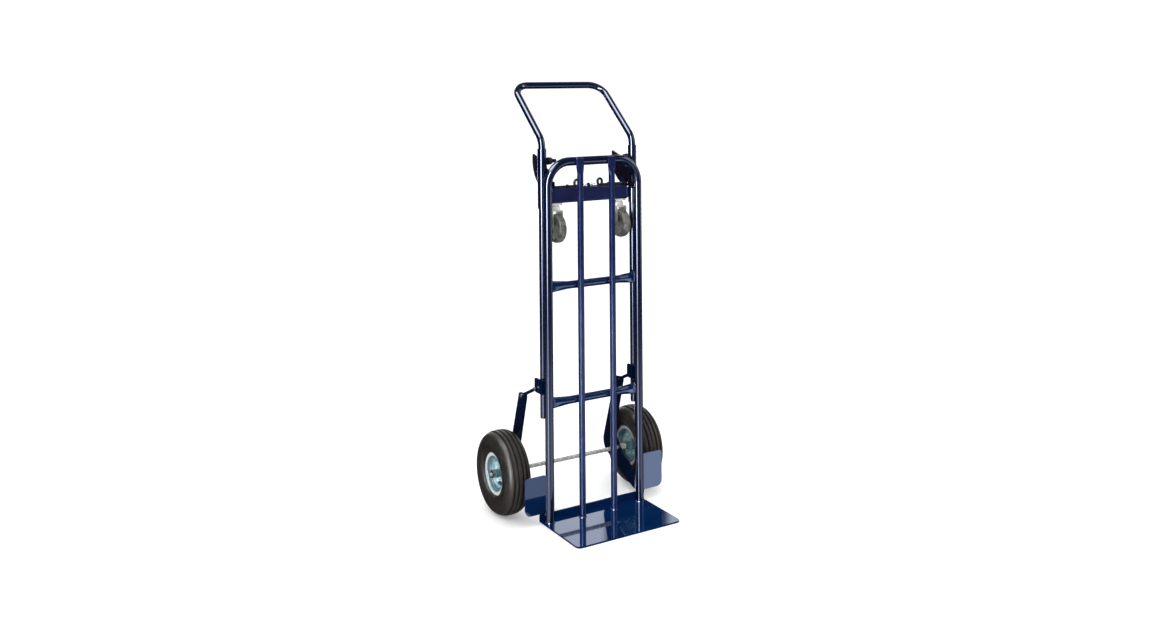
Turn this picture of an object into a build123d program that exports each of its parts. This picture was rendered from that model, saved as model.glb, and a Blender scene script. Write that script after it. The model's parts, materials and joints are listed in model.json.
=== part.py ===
"""Convertible hand truck: a two-wheeled upright truck whose handle frame tilts back to make a platform truck.

Millimetres. +X runs across the truck, +Y backwards and +Z up. Each piece is modelled about the plane of
the main frame (y = 0 there) and moved by ORIGIN_Y as it is written, so that the origin of the finished
model is on the floor, under the middle of its bounding box.
"""
from build123d import *
import math
import os

# ---------------------------------------------------------------- driving dimensions
# main frame: one inverted U of tube
MAIN_X = 162.5              # tube centre, either side of the middle
MAIN_R = 13.5
MAIN_WALL = 1.8
LOOP_TOP_Z = 1098.0
LOOP_BEND = 75.0

# toe plate
TOE_THICK = 5.0
TOE_HALF_WIDTH = 181.7
TOE_FRONT = -202.0
TOE_BACK = 34.0
TOE_FLANGE_Z = 22.0
TOE_FLANGE_THICK = 4.0
TOE_CORNER = 16.0

# uprights in front of the frame, and the tubes across it
UPRIGHT_X = 57.0
UPRIGHT_R = 10.0
UPRIGHT_WALL = 1.5
TAB_THICK = 6.0             # flattened upper end
TAB_WIDTH = 27.0
TAB_START_Z = 1050.0
TAB_FULL_Z = 1080.0
TAB_TOP_Z = 1107.0
CROSS_R = 12.0
CROSS_WALL = 1.5
CROSS_Z = (364.0, 718.0)
CROSS_END_HEIGHT = 34.0     # flattened ends are tall and thin
CROSS_END_THICK = 12.0
CROSS_FLARE_X = 92.0        # where the flattening starts

# wheels and axle
WHEEL_X = 244.0
WHEEL_R = 128.0
WHEEL_Y = 154.0
TYRE_HALF_WIDTH = 43.0
TYRE_DEPTH = 37.0           # half height of the tyre's section
TYRE_WALL = 7.0
AXLE_R = 6.35
AXLE_END_X = 287.5

# wheel brackets: flat plates outboard of the tubes
PLATE_IN_X = MAIN_X + MAIN_R
PLATE_THICK = 5.0
GUARD_THICK = 3.0
GUARD_OUT_X = 248.0
GUARD_Z = (37.0, 152.0)

# sliding handle
HANDLE_X = 164.4
HANDLE_Y = 31.6
HANDLE_R = 11.0
HANDLE_WALL = 1.5
HANDLE_LOW_Z = 318.0
HANDLE_BEND_Z = 1163.0
HANDLE_TOP_Z = 1332.0
HANDLE_TOP_Y = 224.0
HANDLE_BEND = 50.0
HANDLE_TRAVEL = 630.0

# tilting caster frame
PIVOT_Y = HANDLE_Y
PIVOT_Z = 1100.0
SLEEVE_R = 14.0
SLEEVE_BORE = HANDLE_R + 0.3
SLEEVE_Z = (956.0, 1138.0)
CHANNEL_X = 138.0
CHANNEL_Y = (20.0, 70.0)
CHANNEL_Z = (969.0, 1013.0)
CHANNEL_THICK = 3.0
PIVOT_PLATE_R = 92.0        # quadrant plate, about the pivot
PIVOT_PLATE_THICK = 5.0
PIVOT_BOSS_R = 10.0
PIVOT_PLATE_OUT_X = MAIN_X - MAIN_R
STUD_R = 6.0
STUD_IN_X = 116.0

# latch
LATCH_R = 4.0
LATCH_Z = 1018.0
LATCH_TIP_X = 142.0
LATCH_HOLE_R = 4.5
LOOP_CENTRE_X = 42.0
LOOP_CENTRE_Z = 1027.2

# casters
CASTER_X = 116.0
CASTER_AXIS_Y = 45.0
CASTER_TRAIL = 18.0
CASTER_WHEEL_R = 44.5
CASTER_WHEEL_HALF = 13.0
CASTER_AXLE_Z = 891.5
CASTER_AXLE_R = 4.0
CASTER_PLATE = (46.0, 38.0, 3.0)
CASTER_BOLT_SPACING = (34.0, 26.0)
CASTER_BOLT_R = 2.5
CASTER_NUT = 8.0

RUN_CLEARANCE = 0.05        # radial, shaft in hole
ORIGIN_Y = -(TOE_FRONT + WHEEL_Y + WHEEL_R) / 2

SIDES = {"left": -1, "right": 1}


# ---------------------------------------------------------------- helpers
def box(x, y, z):
    """Box between two limits on each axis."""
    size = (x[1] - x[0], y[1] - y[0], z[1] - z[0])
    centre = ((x[0] + x[1]) / 2, (y[0] + y[1]) / 2, (z[0] + z[1]) / 2)
    return Pos(*centre) * Box(*size)


def rod_x(radius, x, y, z):
    """Round bar along X between x[0] and x[1]."""
    return Pos((x[0] + x[1]) / 2, y, z) * Rot(0, 90, 0) * Cylinder(radius, x[1] - x[0])


def rod_z(radius, x, y, z):
    """Round bar along Z between z[0] and z[1]."""
    return Pos(x, y, (z[0] + z[1]) / 2) * Cylinder(radius, z[1] - z[0])


def hex_x(across_flats, x, y, z):
    """Hexagonal nut or bolt head along X."""
    hexagon = RegularPolygon(across_flats / 2, 6, major_radius=False)
    return Pos(x[0], y, z) * Rot(0, 90, 0) * extrude(hexagon, x[1] - x[0])


def hex_z(across_flats, x, y, z):
    """Hexagonal nut or bolt head along Z."""
    return Pos(x, y, z[0]) * extrude(RegularPolygon(across_flats / 2, 6, major_radius=False), z[1] - z[0])


def tube(path, radius, wall):
    """Round tube swept along a path."""
    start = path ^ 0
    outer = sweep(start * Circle(radius), path=path)
    inner = sweep(start * Circle(radius - wall), path=path)
    return outer - inner


def side_plate(outline, x, radii=None):
    """Flat plate in a Y-Z plane between x[0] and x[1], with chosen corners rounded.

    outline is a list of (y, z) corners and radii holds one radius for each of them, 0 for a sharp one.
    """
    face = make_face(Polyline([(0, y, z) for y, z in outline], close=True)).face()
    for (y, z), radius in zip(outline, radii or ()):
        if radius:
            corner = face.vertices().sort_by_distance((0, y, z))[0]
            face = face.fillet_2d(radius, [corner])
    return Pos(x[0], 0, 0) * extrude(face, x[1] - x[0], dir=(1, 0, 0))


def ring_x(profile, x, y, z, side=1):
    """Solid of revolution about a line along X; profile holds (offset along X, radius) corners."""
    face = make_face(Polyline([(side * s, 0, r) for s, r in profile], close=True))
    return Pos(x, y, z) * revolve(face, Axis.X)


def mirrored(shape):
    return mirror(shape, Plane.YZ)


def pair(right_shape):
    """Two separate solids, one each side of the truck."""
    return Compound(children=[*solids_of(right_shape), *solids_of(mirrored(right_shape))])


def solids_of(shape):
    return list(shape.solids())


def for_side(side, right_shape):
    return right_shape if SIDES[side] > 0 else mirrored(right_shape)


# ---------------------------------------------------------------- main frame
def main_frame_loop():
    path = FilletPolyline(
        (-MAIN_X, 0, TOE_THICK),
        (-MAIN_X, 0, LOOP_TOP_Z),
        (MAIN_X, 0, LOOP_TOP_Z),
        (MAIN_X, 0, TOE_THICK),
        radius=LOOP_BEND,
    )
    return tube(path, MAIN_R, MAIN_WALL)


def toe_plate():
    plate = box((-TOE_HALF_WIDTH, TOE_HALF_WIDTH), (TOE_FRONT, TOE_BACK), (0, TOE_THICK))
    front_edges = plate.edges().filter_by(Axis.Z).sort_by(Axis.Y)[:2]
    plate = fillet(front_edges, TOE_CORNER)
    flange = box(
        (-TOE_HALF_WIDTH, TOE_HALF_WIDTH),
        (TOE_BACK - TOE_FLANGE_THICK, TOE_BACK),
        (TOE_THICK, TOE_FLANGE_Z),
    )
    plate = plate + flange
    heel = plate.edges().filter_by(Axis.X).filter_by_position(Axis.Z, -0.1, 0.1).sort_by(Axis.Y)[-1]
    plate = fillet(heel, TOE_FLANGE_THICK)
    shoulders = plate.edges().filter_by(Axis.Y).sort_by(Axis.Z)[-2:]
    return fillet(shoulders, 6)


UPRIGHT_Y = -MAIN_R - TAB_THICK / 2


def upright_solid(radius, tab_width, tab_thick, low_z, top_z):
    """Round bar that flattens into a tab towards its upper end."""
    round_part = rod_z(radius, 0, 0, (low_z, TAB_START_Z))
    flat = Pos(0, 0, TAB_FULL_Z) * SlotOverall(tab_width, tab_thick)
    taper = loft([Pos(0, 0, TAB_START_Z) * Circle(radius), flat])
    return round_part + taper + extrude(flat, top_z - TAB_FULL_Z)


def upright():
    """Right-hand upright: a tube on the toe plate, flattened where it is welded to the frame's top."""
    outer = upright_solid(UPRIGHT_R, TAB_WIDTH, TAB_THICK, TOE_THICK, TAB_TOP_Z)
    bore = rod_z(UPRIGHT_R - UPRIGHT_WALL, 0, 0, (TOE_THICK - 1, TAB_START_Z))
    return Pos(UPRIGHT_X, UPRIGHT_Y, 0) * (outer - bore)


CROSS_Y = UPRIGHT_Y + UPRIGHT_R + CROSS_R + 0.05


def cross_bar(radius, end_height, end_thick):
    """Right half of a cross tube, from the middle to past the main tube's centre."""
    middle = rod_x(radius, (0, CROSS_FLARE_X), 0, 0)
    end_x = MAIN_X - MAIN_R - 8
    start = Plane(origin=(CROSS_FLARE_X, 0, 0), x_dir=(0, 0, 1), z_dir=(1, 0, 0))
    end = Plane(origin=(end_x, 0, 0), x_dir=(0, 0, 1), z_dir=(1, 0, 0))
    mouth = end * SlotOverall(end_height, end_thick)
    flare = loft([start * Circle(radius), mouth])
    return middle + flare + extrude(mouth, MAIN_X - end_x, dir=(1, 0, 0))


def cross_members():
    """Two tubes across the frame, flattened and coped where they meet the side tubes."""
    right = cross_bar(CROSS_R, CROSS_END_HEIGHT, CROSS_END_THICK)
    bore = rod_x(CROSS_R - CROSS_WALL, (-CROSS_FLARE_X, CROSS_FLARE_X), 0, 0)
    member = right + mirrored(right) - bore
    solids = []
    for z in CROSS_Z:
        placed = Pos(0, CROSS_Y, z) * member
        for sign in (-1, 1):
            placed = placed - rod_z(MAIN_R, sign * MAIN_X, 0, (z - 60, z + 60))
        solids.append(max(placed.solids(), key=lambda s: s.volume))
    return Compound(children=solids)


def wheel_bracket():
    """Right-hand plate that carries the axle: a lower arm to the frame and an upper arm to the brace."""
    outline = [
        (13.0, 24.0),
        (56.0, 24.0),
        (252.0, 112.0),
        (166.0, 364.0),
        (113.0, 372.0),
        (172.0, 172.0),
        (132.0, 128.0),
        (13.0, 54.0),
    ]
    radii = [0, 40, 42, 9, 9, 26, 40, 0]
    plate = side_plate(outline, (PLATE_IN_X, PLATE_IN_X + PLATE_THICK), radii)
    foot = box((PLATE_IN_X, PLATE_IN_X + PLATE_THICK), (GUARD_THICK / 2, 14), (24, 54))
    plate = plate + foot
    axle_hole = rod_x(AXLE_R + RUN_CLEARANCE, (PLATE_IN_X - 1, PLATE_IN_X + PLATE_THICK + 1), WHEEL_Y, WHEEL_R)
    bolt_hole = rod_x(STRAP_BOLT_R + 0.2, (PLATE_IN_X - 1, PLATE_IN_X + PLATE_THICK + 1), *STRAP_LEG_BOLT)
    return plate - axle_hole - bolt_hole


def wheel_guard():
    """Right-hand mudguard: a flat sheet ahead of the tyre with a flange folded back along the bracket."""
    flange_x = PLATE_IN_X + PLATE_THICK
    sheet = box((PLATE_IN_X, GUARD_OUT_X), (-GUARD_THICK / 2, GUARD_THICK / 2), GUARD_Z)
    corners = sheet.edges().filter_by(Axis.Y).sort_by(Axis.X)[-2:].sort_by(Axis.Z)
    sheet = fillet(corners[0], 20)
    top = sheet.edges().filter_by(Axis.Y).sort_by(Axis.Z)[-2:].sort_by(Axis.X)[-1]
    sheet = fillet(top, 10)
    inner_top = sheet.edges().filter_by(Axis.Y).sort_by(Axis.Z)[-2:].sort_by(Axis.X)[0]
    sheet = fillet(inner_top, 8)
    flange = box((flange_x, flange_x + GUARD_THICK), (GUARD_THICK / 2, 17), (GUARD_Z[0], 62))
    return sheet + flange


SADDLE_Z = (391.0, 435.0)
SADDLE_BACK_Y = 60.0
SADDLE_INNER_BACK_Y = 47.0
SADDLE_GAP = 1.4
STRAP_THICK = 4.0
STRAP_HEIGHT = 10.0
STRAP_FRAME_BOLT = (50.0, 402.0)
STRAP_LEG_BOLT = (142.0, 359.0)
STRAP_BOLT_R = 3.0


def tube_saddle():
    """Right-hand saddle, open at the back, that the handle's tube lies in when the truck is upright."""
    outer = box((PLATE_IN_X, PLATE_IN_X + PLATE_THICK), (MAIN_R, SADDLE_BACK_Y), SADDLE_Z)
    outer = fillet(outer.edges().filter_by(Axis.X).sort_by(Axis.Y)[-2:], 8)
    inner_x = HANDLE_X - HANDLE_R - SADDLE_GAP
    inner = box((inner_x - 4, inner_x), (MAIN_R, SADDLE_INNER_BACK_Y), SADDLE_Z)
    inner = fillet(inner.edges().filter_by(Axis.X).sort_by(Axis.Y)[-2:], 8)
    web = box((inner_x - 4, PLATE_IN_X + PLATE_THICK), (MAIN_R, MAIN_R + 3.5), SADDLE_Z)
    hole = rod_x(STRAP_BOLT_R + 0.2, (PLATE_IN_X - 1, PLATE_IN_X + PLATE_THICK + 1), *STRAP_FRAME_BOLT)
    return outer + inner + web - hole


def brace_strap():
    """Right-hand flat bar from the saddle to the top of the wheel bracket."""
    y0, z0 = STRAP_FRAME_BOLT
    y1, z1 = STRAP_LEG_BOLT
    length = math.hypot(y1 - y0, z1 - z0)
    angle = math.degrees(math.atan2(z1 - z0, y1 - y0))
    in_x = PLATE_IN_X + PLATE_THICK
    bar = Rot(0, 90, 0) * extrude(SlotCenterToCenter(length, STRAP_HEIGHT), STRAP_THICK)
    bar = Rot(90 + angle, 0, 0) * bar
    bar = Pos(in_x, (y0 + y1) / 2, (z0 + z1) / 2) * bar
    for y, z in (STRAP_FRAME_BOLT, STRAP_LEG_BOLT):
        bar = bar - rod_x(STRAP_BOLT_R + 0.2, (in_x - 1, in_x + STRAP_THICK + 1), y, z)
    return bar


def strap_bolts():
    """Four bolts, screwed in from outside and flush with the inside of the plates."""
    in_x = PLATE_IN_X + PLATE_THICK + STRAP_THICK
    bolts = []
    for y, z in (STRAP_FRAME_BOLT, STRAP_LEG_BOLT):
        shank = rod_x(STRAP_BOLT_R, (PLATE_IN_X + 0.3, in_x), y, z)
        bolts.append(shank + hex_x(10, (in_x, in_x + 4.5), y, z))
    return pair(Compound(children=bolts))


def axle():
    bar = rod_x(AXLE_R, (-AXLE_END_X, AXLE_END_X), WHEEL_Y, WHEEL_R)
    bar = chamfer(bar.edges().filter_by(GeomType.CIRCLE), 1.0)
    for sign in (-1, 1):
        bar = bar - rod_z(COTTER_R, sign * COTTER_X, WHEEL_Y, (WHEEL_R - 12, WHEEL_R + 12))
    return bar


HUB_HALF = 38.0
COTTER_R = 1.6
WASHER_THICK = 2.0
SPACER_R = 10.0
COTTER_X = WHEEL_X + HUB_HALF + 0.4 + WASHER_THICK + COTTER_R


def axle_spacers():
    """Short tubes on the axle that keep the hubs off the wheel brackets."""
    x = (PLATE_IN_X + PLATE_THICK, WHEEL_X - HUB_HALF - 0.4)
    spacer = rod_x(SPACER_R, x, WHEEL_Y, WHEEL_R)
    return pair(spacer - rod_x(AXLE_R, (x[0] - 1, x[1] + 1), WHEEL_Y, WHEEL_R))


def axle_washers():
    x = WHEEL_X + HUB_HALF + 0.4
    washer = rod_x(11.0, (x, x + WASHER_THICK), WHEEL_Y, WHEEL_R)
    return pair(washer - rod_x(AXLE_R, (x - 1, x + WASHER_THICK + 1), WHEEL_Y, WHEEL_R))


def cotter_pins():
    """Split pins: a shank through the axle, an eye above it and two legs spread below."""
    shank = rod_z(COTTER_R, COTTER_X, WHEEL_Y, (WHEEL_R - 11, WHEEL_R + 8.5))
    eye = Pos(COTTER_X, WHEEL_Y, WHEEL_R + 11) * Rot(0, 90, 0) * Torus(2.8, 1.1)
    return pair(shank + eye)


def pivot_plate():
    """Right-hand quadrant plate on the frame, with the pivot hole and the two latch holes.

    A foot joins it to the side tube, a notch in front leaves a boss round the pivot, and its top rises
    to a corner at the back.
    """
    x = (PIVOT_PLATE_OUT_X - PIVOT_PLATE_THICK, PIVOT_PLATE_OUT_X)
    front = MAIN_R + 0.1
    outline = [
        (front, PIVOT_Z - 100),
        (front, PIVOT_Z - 33),
        (37.0, PIVOT_Z - 22),
        (37.0, PIVOT_Z),
        (70.0, PIVOT_Z + 2.5),
        (123.0, PIVOT_Z + 18.5),
        (140.0, PIVOT_Z + 18.5),
        (140.0, PIVOT_Z - 100),
    ]
    radii = [0, 3, 7, 0, 12, 0, 0, 0]
    plate = side_plate(outline, x, radii) & rod_x(PIVOT_PLATE_R, x, PIVOT_Y, PIVOT_Z)
    corner = plate.edges().filter_by(Axis.X).sort_by_distance((x[0], 122.0, PIVOT_Z + 18))[0]
    plate = fillet(corner, 1.5)
    foot = box(x, (-7, MAIN_R + 6), (PIVOT_Z - PIVOT_PLATE_R - 5, PIVOT_Z - PIVOT_PLATE_R + 13))
    plate = plate + foot + rod_x(PIVOT_BOSS_R, x, PIVOT_Y, PIVOT_Z)
    arm = PIVOT_Z - LATCH_Z
    reach = (x[0] - 1, x[1] + 1)
    plate = plate - rod_x(STUD_R + RUN_CLEARANCE, reach, PIVOT_Y, PIVOT_Z)
    plate = plate - rod_x(LATCH_HOLE_R, reach, PIVOT_Y, LATCH_Z)
    return plate - rod_x(LATCH_HOLE_R, reach, PIVOT_Y + arm, PIVOT_Z)


# ---------------------------------------------------------------- caster frame
def sleeve():
    """Right-hand sleeve that the handle's tube slides in."""
    body = rod_z(SLEEVE_R, HANDLE_X, HANDLE_Y, SLEEVE_Z)
    bore = rod_z(SLEEVE_BORE, HANDLE_X, HANDLE_Y, (SLEEVE_Z[0] - 1, SLEEVE_Z[1] + 1))
    latch_hole = rod_x(LATCH_HOLE_R, (HANDLE_X - SLEEVE_R - 2, HANDLE_X), HANDLE_Y, LATCH_Z)
    return body - bore - latch_hole


def solid_sleeve():
    return rod_z(SLEEVE_R, HANDLE_X, HANDLE_Y, (SLEEVE_Z[0] - 5, SLEEVE_Z[1] + 5))


def caster_channel():
    """Channel across the frame, open at the back, that carries both casters."""
    outer = box((-CHANNEL_X, CHANNEL_X), CHANNEL_Y, CHANNEL_Z)
    inner = box(
        (-CHANNEL_X - 1, CHANNEL_X + 1),
        (CHANNEL_Y[0] + CHANNEL_THICK, CHANNEL_Y[1] + 1),
        (CHANNEL_Z[0] + CHANNEL_THICK, CHANNEL_Z[1] - CHANNEL_THICK),
    )
    channel = outer - inner
    front_edges = channel.edges().filter_by(Axis.X).filter_by_position(
        Axis.Y, CHANNEL_Y[0] - 0.1, CHANNEL_Y[0] + 0.1
    )
    channel = fillet(front_edges, 3.5)
    for sign in (-1, 1):
        for x, y in caster_bolt_places(sign):
            channel = channel - rod_z(CASTER_BOLT_R + 0.2, x, y, (CHANNEL_Z[0] - 1, CHANNEL_Z[0] + CHANNEL_THICK + 1))
    return channel


def sleeve_brackets():
    """Flat bars welded behind the channel's web that join it to the sleeves."""
    y = (CHANNEL_Y[0] + CHANNEL_THICK, CHANNEL_Y[0] + CHANNEL_THICK + 4)
    z = (CHANNEL_Z[0] + CHANNEL_THICK, PIVOT_Z - PIVOT_PLATE_R - 3)
    bar = box((98, HANDLE_X), y, z) - solid_sleeve()
    return pair(bar)


def pivot_studs():
    """Studs welded to the sleeves; the quadrant plates turn on them."""
    stud = rod_x(STUD_R, (STUD_IN_X, HANDLE_X), PIVOT_Y, PIVOT_Z) - solid_sleeve()
    stud = max(stud.solids(), key=lambda s: s.volume)
    return pair(chamfer(stud.edges().filter_by(GeomType.CIRCLE).sort_by(Axis.X)[0], 1.0))


def pivot_nuts():
    out_x = PIVOT_PLATE_OUT_X - PIVOT_PLATE_THICK - 0.4
    bore = rod_x(STUD_R, (STUD_IN_X, out_x + 1), PIVOT_Y, PIVOT_Z)
    washer = rod_x(12.0, (out_x - 2, out_x), PIVOT_Y, PIVOT_Z)
    nut = hex_x(19, (out_x - 12, out_x - 2), PIVOT_Y, PIVOT_Z)
    return pair(washer + nut - bore)


# inner guide, low, and outer guide, tall
GUIDES = {74.0: LATCH_Z + 6.5, 124.0: LATCH_Z + 18.0}


def latch_tab(x, top_z, thick=3.0):
    """Upright tab on the channel's top with a hole for the latch rod."""
    tab = box((x, x + thick), (HANDLE_Y - 8, HANDLE_Y + 8), (CHANNEL_Z[1], top_z))
    tab = fillet(tab.edges().filter_by(Axis.X).sort_by(Axis.Z)[-2:], 5)
    return tab - rod_x(LATCH_R + RUN_CLEARANCE, (x - 1, x + thick + 1), HANDLE_Y, LATCH_Z)


def latch_guides():
    """Two tabs for each latch rod, and the middle tab that both springs push against."""
    tabs = [latch_tab(x, top_z) for x, top_z in GUIDES.items()]
    middle = box((-1.5, 1.5), (HANDLE_Y - 8, HANDLE_Y + 8), (CHANNEL_Z[1], LATCH_Z + 8))
    middle = fillet(middle.edges().filter_by(Axis.X).sort_by(Axis.Z)[-2:], 6)
    right = [solid for tab in tabs for solid in tab.solids()]
    left = [solid for tab in tabs for solid in mirrored(tab).solids()]
    return Compound(children=[*right, *left, *middle.solids()])


SPRING_R = 3.9
SPRING_WIRE_R = 0.7
SPRING_X = (2.4, 29.6)
SPRING_TURNS = 8


def latch_spring():
    """Right-hand coil spring between the middle tab and the finger loop."""
    height = SPRING_X[1] - SPRING_X[0]
    coil = Helix(height / SPRING_TURNS, height, SPRING_R)
    section = Plane(origin=coil @ 0, z_dir=coil % 0) * Circle(SPRING_WIRE_R)
    wire = sweep(section, path=coil, is_frenet=True)
    return Pos(SPRING_X[0], HANDLE_Y, LATCH_Z) * Rot(0, 90, 0) * wire


LOOP_HALF_X = 11.5
LOOP_HALF_Z = 13.5
LOOP_BAR = 7.0
LOOP_THICK = 8.0
TANG_R = 2.5
TANG_X = (LOOP_CENTRE_X + 4.5, LOOP_CENTRE_X + 9.5)


def loop_blank():
    """Right-hand oval ring, before its socket is cut."""
    outline = Ellipse(LOOP_HALF_X, LOOP_HALF_Z) - Ellipse(LOOP_HALF_X - LOOP_BAR, LOOP_HALF_Z - LOOP_BAR)
    loop = fillet(extrude(outline, LOOP_THICK / 2, both=True).edges(), 2.6)
    return Pos(LOOP_CENTRE_X, HANDLE_Y, LOOP_CENTRE_Z) * Rot(90, 0, 0) * loop


def finger_loop():
    """Right-hand loop that a finger pulls, with a socket for the latch rod's tang."""
    return loop_blank() - rod_x(TANG_R, TANG_X, HANDLE_Y, LATCH_Z)


def latch_rod():
    """Right-hand latch rod, drawn back so that its tip stands clear of the quadrant plate."""
    rod = rod_x(LATCH_R, (TANG_X[1] - 0.5, LATCH_TIP_X), HANDLE_Y, LATCH_Z)
    tip = rod.edges().filter_by(GeomType.CIRCLE).sort_by(Axis.X)[-1]
    return chamfer(tip, 1.2) - loop_blank() + rod_x(TANG_R, TANG_X, HANDLE_Y, LATCH_Z)


# ---------------------------------------------------------------- handle
def handle_tube():
    """One bent tube: two legs in the sleeves, sloped arms and the bar across the top."""
    path = FilletPolyline(
        (-HANDLE_X, HANDLE_Y, HANDLE_LOW_Z),
        (-HANDLE_X, HANDLE_Y, HANDLE_BEND_Z),
        (-HANDLE_X, HANDLE_TOP_Y, HANDLE_TOP_Z),
        (HANDLE_X, HANDLE_TOP_Y, HANDLE_TOP_Z),
        (HANDLE_X, HANDLE_Y, HANDLE_BEND_Z),
        (HANDLE_X, HANDLE_Y, HANDLE_LOW_Z),
        radius=HANDLE_BEND,
    )
    handle = tube(path, HANDLE_R, HANDLE_WALL)
    for sign in (-1, 1):
        inner, outer = sorted((sign * (HANDLE_X - HANDLE_R - 2), sign * HANDLE_X))
        for z in (LATCH_Z, LATCH_Z - HANDLE_TRAVEL):
            handle = handle - rod_x(LATCH_HOLE_R, (inner, outer), HANDLE_Y, z)
    return handle


def handle_end_plugs():
    """Push-in caps in the open lower ends of the handle's legs."""
    bore = HANDLE_R - HANDLE_WALL
    stem = rod_z(bore, HANDLE_X, HANDLE_Y, (HANDLE_LOW_Z, HANDLE_LOW_Z + 16))
    cap = rod_z(HANDLE_R, HANDLE_X, HANDLE_Y, (HANDLE_LOW_Z - 4, HANDLE_LOW_Z))
    cap = fillet(cap.edges().filter_by(GeomType.CIRCLE).sort_by(Axis.Z)[0], 3.0)
    return pair(stem + cap)


# ---------------------------------------------------------------- casters
PLATE_Z = (CHANNEL_Z[0] - CASTER_PLATE[2], CHANNEL_Z[0])
RACE_Z = (951.0, PLATE_Z[0])
FORK_TOP_Z = 947.0
FORK_THICK = 2.5
FORK_GAP = CASTER_WHEEL_HALF + 2.5
CASTER_WHEEL_Y = CASTER_AXIS_Y - CASTER_TRAIL


def caster_bolt_places(sign):
    dx, dy = CASTER_BOLT_SPACING
    return [
        (sign * CASTER_X + i * dx / 2, CASTER_AXIS_Y + j * dy / 2)
        for i in (-1, 1)
        for j in (-1, 1)
    ]


def caster_plates():
    """Top plates with the upper half of the swivel race, bolted under the channel."""
    width, depth, _ = CASTER_PLATE
    plate = box(
        (CASTER_X - width / 2, CASTER_X + width / 2),
        (CASTER_AXIS_Y - depth / 2, CASTER_AXIS_Y + depth / 2),
        PLATE_Z,
    )
    plate = fillet(plate.edges().filter_by(Axis.Z), 6)
    race = rod_z(16.0, CASTER_X, CASTER_AXIS_Y, (PLATE_Z[0] - 7, PLATE_Z[0]))
    race = fillet(race.edges().filter_by(GeomType.CIRCLE).sort_by(Axis.Z)[0], 3.0)
    plate = plate + race - rod_z(KINGPIN_R + RUN_CLEARANCE, CASTER_X, CASTER_AXIS_Y, (940, 970))
    for x, y in caster_bolt_places(1):
        plate = plate - rod_z(CASTER_BOLT_R + 0.2, x, y, (PLATE_Z[0] - 1, PLATE_Z[1] + 1))
    return pair(plate)


KINGPIN_R = 5.0


def caster_bolts():
    """Eight bolts that hold the caster plates: heads below, nuts inside the channel."""
    nut_z = CHANNEL_Z[0] + CHANNEL_THICK
    bolts = []
    for x, y in caster_bolt_places(1):
        shank = rod_z(CASTER_BOLT_R, x, y, (PLATE_Z[0], nut_z + 6))
        head = hex_z(CASTER_NUT, x, y, (PLATE_Z[0] - 3.5, PLATE_Z[0]))
        nut = hex_z(CASTER_NUT, x, y, (nut_z, nut_z + 4.5))
        bolts.append(shank + head + nut)
    return pair(Compound(children=bolts))


def caster_fork():
    """Right-hand swivel fork: a lower race, a crown and two legs, with the kingpin through it."""
    race_top = PLATE_Z[0] - 7 - 0.4
    race = rod_z(18.0, CASTER_X, CASTER_AXIS_Y, (FORK_TOP_Z, race_top))
    race = fillet(race.edges().filter_by(GeomType.CIRCLE).sort_by(Axis.Z)[-1], 3.0)
    crown_y = (CASTER_AXIS_Y - 26, CASTER_AXIS_Y + 20)
    crown = box(
        (CASTER_X - FORK_GAP - FORK_THICK, CASTER_X + FORK_GAP + FORK_THICK),
        crown_y,
        (FORK_TOP_Z - FORK_THICK, FORK_TOP_Z),
    )
    outline = [
        (crown_y[0], FORK_TOP_Z),
        (crown_y[1], FORK_TOP_Z),
        (crown_y[1] - 2, FORK_TOP_Z - 14),
        (CASTER_WHEEL_Y + 11, CASTER_AXLE_Z - 9),
        (CASTER_WHEEL_Y - 9, CASTER_AXLE_Z - 9),
        (crown_y[0], FORK_TOP_Z - 24),
    ]
    radii = [0, 0, 12, 8, 8, 14]
    axle_hole = rod_x(CASTER_AXLE_R, (CASTER_X - 30, CASTER_X + 30), CASTER_WHEEL_Y, CASTER_AXLE_Z)
    fork = race + crown
    for x in (CASTER_X - FORK_GAP - FORK_THICK, CASTER_X + FORK_GAP):
        fork = fork + side_plate(outline, (x, x + FORK_THICK), radii)
    kingpin = rod_z(KINGPIN_R, CASTER_X, CASTER_AXIS_Y, (FORK_TOP_Z, PLATE_Z[1] - 0.4))
    return fork + kingpin - axle_hole


def caster_axle():
    """Right-hand caster axle: a bolt across the fork and its nut."""
    half = FORK_GAP + FORK_THICK
    shank = rod_x(CASTER_AXLE_R, (CASTER_X - half, CASTER_X + half + 7), CASTER_WHEEL_Y, CASTER_AXLE_Z)
    head = hex_x(12, (CASTER_X - half - 4.5, CASTER_X - half), CASTER_WHEEL_Y, CASTER_AXLE_Z)
    nut = hex_x(12, (CASTER_X + half, CASTER_X + half + 5.5), CASTER_WHEEL_Y, CASTER_AXLE_Z)
    nut = nut - rod_x(CASTER_AXLE_R, (CASTER_X, CASTER_X + 40), CASTER_WHEEL_Y, CASTER_AXLE_Z)
    return Compound(children=[*solids_of(shank + head), *solids_of(nut)])


CASTER_CORE_R = 33.0


def caster_tread():
    """Right-hand grey rubber tread, rounded at its shoulders."""
    half = CASTER_WHEEL_HALF
    profile = [
        (-half, CASTER_CORE_R),
        (half, CASTER_CORE_R),
        (half, CASTER_WHEEL_R - 6),
        (half - 3.5, CASTER_WHEEL_R - 1.2),
        (0, CASTER_WHEEL_R),
        (-half + 3.5, CASTER_WHEEL_R - 1.2),
        (-half, CASTER_WHEEL_R - 6),
    ]
    return ring_x(profile, CASTER_X, CASTER_WHEEL_Y, CASTER_AXLE_Z)


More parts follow.
